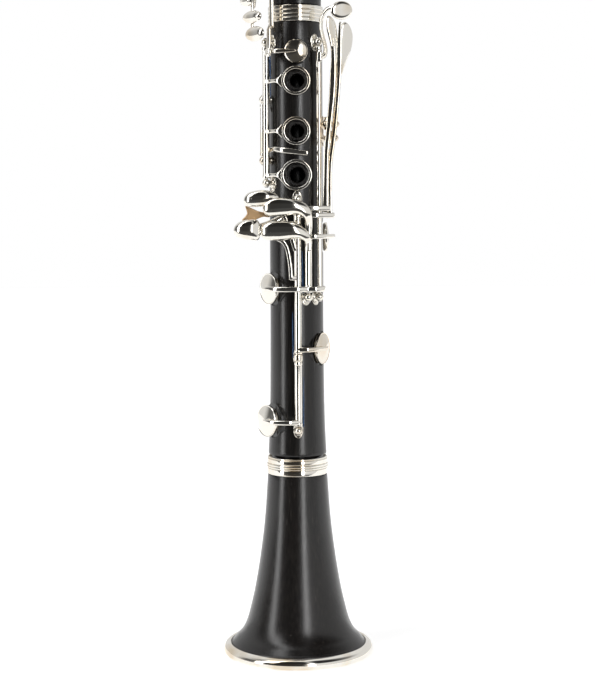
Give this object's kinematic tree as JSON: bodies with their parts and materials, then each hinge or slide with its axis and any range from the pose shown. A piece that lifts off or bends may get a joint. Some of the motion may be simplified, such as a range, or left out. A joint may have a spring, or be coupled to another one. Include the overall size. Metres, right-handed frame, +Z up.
{
  "type": "clarinet",
  "caption": "Black wooden soprano clarinet with silver keywork, finger rings and ball headed posts, standing on its bell; every key turns on its hinge.",
  "frame": {"origin": "middle of the bell rim, on the surface it stands on; the bore is the Z axis", "axes": "+Z runs up the bore from bell to mouthpiece; -Y is the side of the finger holes; +X is the player's left"},
  "size_m": [0.0798, 0.0798, 0.667],
  "materials": {
    "grenadilla": "oiled black grenadilla with fine straight grain, satin",
    "silver": "polished silver plate on nickel silver keywork",
    "post_silver": "silver plated ball posts with bright steel rods",
    "cork": "natural cork, dry",
    "ebonite": "polished black hard rubber",
    "cane": "bare cane, smooth",
    "pad_skin": "pale pad skin",
    "blued_steel": "heat blued needle springs"
  },
  "bodies": {
    "body": {"bell": "grenadilla", "bell_rim_ring": "silver", "bell_socket_ring": "silver", "lower_joint": "grenadilla", "middle_socket_ring": "silver", "lower_joint_tenon_cork": "cork", "upper_joint": "grenadilla", "upper_joint_lower_cork": "cork", "upper_joint_upper_cork": "cork", "thumb_rest": "silver", "thumb_bush": "silver", "register_tube": "silver", "lower_ring_posts": "post_silver", "cross_b_posts": "post_silver", "right_hand_posts": "post_silver", "low_hinge_posts": "post_silver", "low_hinge_middle_post": "post_silver", "left_f_posts": "post_silver", "left_e_pivot": "post_silver", "left_f_sharp_pivot": "post_silver", "upper_ring_posts": "post_silver", "cross_e_flat_posts": "post_silver", "thumb_posts": "post_silver", "g_sharp_posts": "post_silver", "c_sharp_posts": "post_silver", "side_key_1_pivot": "post_silver", "side_key_2_pivot": "post_silver", "side_keys_back_pivot": "post_silver", "register_pivot": "post_silver", "throat_a_pivot": "post_silver"},
    "head": {"barrel": "grenadilla", "barrel_lower_ring": "silver", "barrel_upper_ring": "silver", "mouthpiece": "ebonite", "mouthpiece_cork": "cork", "reed": "cane", "ligature": "silver"},
    "lower_ring_key_body": {"lower_ring_key": "silver"},
    "cross_b_key_body": {"cross_b_key": "silver"},
    "a_flat_key_body": {"a_flat_key": "silver"},
    "f_key_body": {"f_key": "silver"},
    "f_sharp_key_body": {"f_sharp_key": "silver"},
    "e_key_body": {"e_key": "silver"},
    "left_e_lever_body": {"left_e_lever": "silver"},
    "left_f_sharp_lever_body": {"left_f_sharp_lever": "silver"},
    "left_f_lever_body": {"left_f_lever": "silver"},
    "first_finger_ring_key_body": {"first_finger_ring_key": "silver"},
    "second_finger_ring_key_body": {"second_finger_ring_key": "silver"},
    "cross_e_flat_key_body": {"cross_e_flat_key": "silver"},
    "thumb_ring_key_body": {"thumb_ring_key": "silver"},
    "g_sharp_key_body": {"g_sharp_key": "silver"},
    "c_sharp_key_body": {"c_sharp_key": "silver"},
    "throat_a_key_body": {"throat_a_key": "silver"},
    "register_key_body": {"register_key": "silver"},
    "side_key_1_body": {"side_key_1": "silver"},
    "side_key_2_body": {"side_key_2": "silver"},
    "side_key_3_body": {"side_key_3": "silver"},
    "side_key_4_body": {"side_key_4": "silver"},
    "ligature_screw_upper_body": {"ligature_screw_upper": "silver"},
    "ligature_screw_lower_body": {"ligature_screw_lower": "silver"}
  },
  "joints": [
    {"name": "barrel_tuning_slide", "type": "slide", "parent": "body", "child": "head", "axis": [0, 0, 1], "range_m": [0, 0.0025]},
    {"name": "lower_ring_key_turn", "type": "hinge", "parent": "body", "child": "lower_ring_key_body", "pos_m": [-0.0158, -0.0096, 0.29], "axis": [0, 0, 1], "range_deg": [0, 4.5], "stiffness_Nm_per_rad": 0.03, "springref_deg": -20.05},
    {"name": "cross_b_key_turn", "type": "hinge", "parent": "body", "child": "cross_b_key_body", "pos_m": [-0.0174, -0.00565, 0.277], "axis": [0, 0, 1], "range_deg": [0, 6.5], "stiffness_Nm_per_rad": 0.03, "springref_deg": -20.05},
    {"name": "a_flat_key_turn", "type": "hinge", "parent": "body", "child": "a_flat_key_body", "pos_m": [0.0061, -0.0176, 0.225], "axis": [0, 0, -1], "range_deg": [0, 7.4], "stiffness_Nm_per_rad": 0.03, "springref_deg": -20.05},
    {"name": "f_key_turn", "type": "hinge", "parent": "body", "child": "f_key_body", "pos_m": [0.0061, -0.0176, 0.205], "axis": [0, 0, -1], "range_deg": [0, 5.8], "stiffness_Nm_per_rad": 0.03, "springref_deg": -20.05},
    {"name": "f_sharp_key_turn", "type": "hinge", "parent": "body", "child": "f_sharp_key_body", "pos_m": [0.0006, -0.0184, 0.2], "axis": [0, 0, -1], "range_deg": [0, 8], "stiffness_Nm_per_rad": 0.03, "springref_deg": -20.05},
    {"name": "e_key_turn", "type": "hinge", "parent": "body", "child": "e_key_body", "pos_m": [0.0006, -0.0184, 0.18], "axis": [0, 0, -1], "range_deg": [0, 10], "stiffness_Nm_per_rad": 0.03, "springref_deg": -20.05},
    {"name": "first_finger_ring_key_turn", "type": "hinge", "parent": "body", "child": "first_finger_ring_key_body", "pos_m": [-0.0154, -0.0094, 0.44], "axis": [0, 0, 1], "range_deg": [0, 4.5], "stiffness_Nm_per_rad": 0.03, "springref_deg": -20.05},
    {"name": "second_finger_ring_key_turn", "type": "hinge", "parent": "body", "child": "second_finger_ring_key_body", "pos_m": [-0.0154, -0.0094, 0.39], "axis": [0, 0, 1], "range_deg": [0, 4.5], "stiffness_Nm_per_rad": 0.03, "springref_deg": -20.05},
    {"name": "cross_e_flat_key_turn", "type": "hinge", "parent": "body", "child": "cross_e_flat_key_body", "pos_m": [-0.017, -0.0053, 0.377], "axis": [0, 0, 1], "range_deg": [0, 7], "stiffness_Nm_per_rad": 0.03, "springref_deg": -20.05},
    {"name": "thumb_ring_key_turn", "type": "hinge", "parent": "body", "child": "thumb_ring_key_body", "pos_m": [0.015, 0.0106, 0.448], "axis": [0, 0, 1], "range_deg": [0, 4], "stiffness_Nm_per_rad": 0.03, "springref_deg": -20.05},
    {"name": "g_sharp_key_turn", "type": "hinge", "parent": "body", "child": "g_sharp_key_body", "pos_m": [0.0134, -0.0121, 0.45], "axis": [0, 0, -1], "range_deg": [0, 8], "stiffness_Nm_per_rad": 0.03, "springref_deg": -20.05},
    {"name": "c_sharp_key_turn", "type": "hinge", "parent": "body", "child": "c_sharp_key_body", "pos_m": [0.016, -0.0084, 0.363], "axis": [0, 0, 1], "range_deg": [0, 8], "stiffness_Nm_per_rad": 0.03, "springref_deg": -20.05},
    {"name": "left_e_lever_turn", "type": "hinge", "parent": "body", "child": "left_e_lever_body", "pos_m": [0.01586, -0.01342, 0.2806], "axis": [-0.646, -0.7633, 0], "range_deg": [0, 3.4]},
    {"name": "left_f_sharp_lever_turn", "type": "hinge", "parent": "body", "child": "left_f_sharp_lever_body", "pos_m": [0.01799, -0.01136, 0.2732], "axis": [-0.5339, -0.8455, 0], "range_deg": [0, 3.4]},
    {"name": "left_f_lever_turn", "type": "hinge", "parent": "body", "child": "left_f_lever_body", "pos_m": [0.012, -0.0126, 0.255], "axis": [0, 0, 1], "range_deg": [0, 9.5]},
    {"name": "throat_a_key_turn", "type": "hinge", "parent": "body", "child": "throat_a_key_body", "pos_m": [0.00163, -0.01863, 0.463], "axis": [0.9962, 0.0872, 0], "range_deg": [0, 4.2], "stiffness_Nm_per_rad": 0.03, "springref_deg": -20.05},
    {"name": "register_key_turn", "type": "hinge", "parent": "body", "child": "register_key_body", "pos_m": [0, 0.0187, 0.49], "axis": [-1, 0, 0], "range_deg": [0, 4.5], "stiffness_Nm_per_rad": 0.03, "springref_deg": -20.05},
    {"name": "side_key_1_turn", "type": "hinge", "parent": "body", "child": "side_key_1_body", "pos_m": [-0.0186, -0.00196, 0.3575], "axis": [0.1045, -0.9945, 0], "range_deg": [0, 1.9], "stiffness_Nm_per_rad": 0.03, "springref_deg": -20.05},
    {"name": "side_key_2_turn", "type": "hinge", "parent": "body", "child": "side_key_2_body", "pos_m": [-0.01863, 0.00163, 0.404], "axis": [-0.0872, -0.9962, 0], "range_deg": [0, 1.4], "stiffness_Nm_per_rad": 0.03, "springref_deg": -20.05},
    {"name": "side_key_3_turn", "type": "hinge", "parent": "body", "child": "side_key_3_body", "pos_m": [-0.0174, 0.00685, 0.425], "axis": [-0.3665, -0.9304, 0], "range_deg": [0, 1.5], "stiffness_Nm_per_rad": 0.03, "springref_deg": -20.05},
    {"name": "side_key_4_turn", "type": "hinge", "parent": "body", "child": "side_key_4_body", "pos_m": [-0.0174, 0.00685, 0.425], "axis": [-0.3665, -0.9304, 0], "range_deg": [0, 1.5], "stiffness_Nm_per_rad": 0.03, "springref_deg": -20.05},
    {"name": "ligature_screw_upper_turn", "type": "hinge", "parent": "head", "child": "ligature_screw_upper_body", "pos_m": [0, 0.017, 0.6245], "axis": [1, 0, 0], "range_deg": [-120, 120]},
    {"name": "ligature_screw_lower_turn", "type": "hinge", "parent": "head", "child": "ligature_screw_lower_body", "pos_m": [0, 0.017, 0.6115], "axis": [1, 0, 0], "range_deg": [-120, 120]}
  ],
  "couplings": [
    {"joint": "left_e_lever_turn", "follows": "e_key_turn", "ratio": 0.337},
    {"joint": "left_f_sharp_lever_turn", "follows": "f_sharp_key_turn", "ratio": 0.415},
    {"joint": "left_f_lever_turn", "follows": "f_key_turn", "ratio": 1.35}
  ]
}
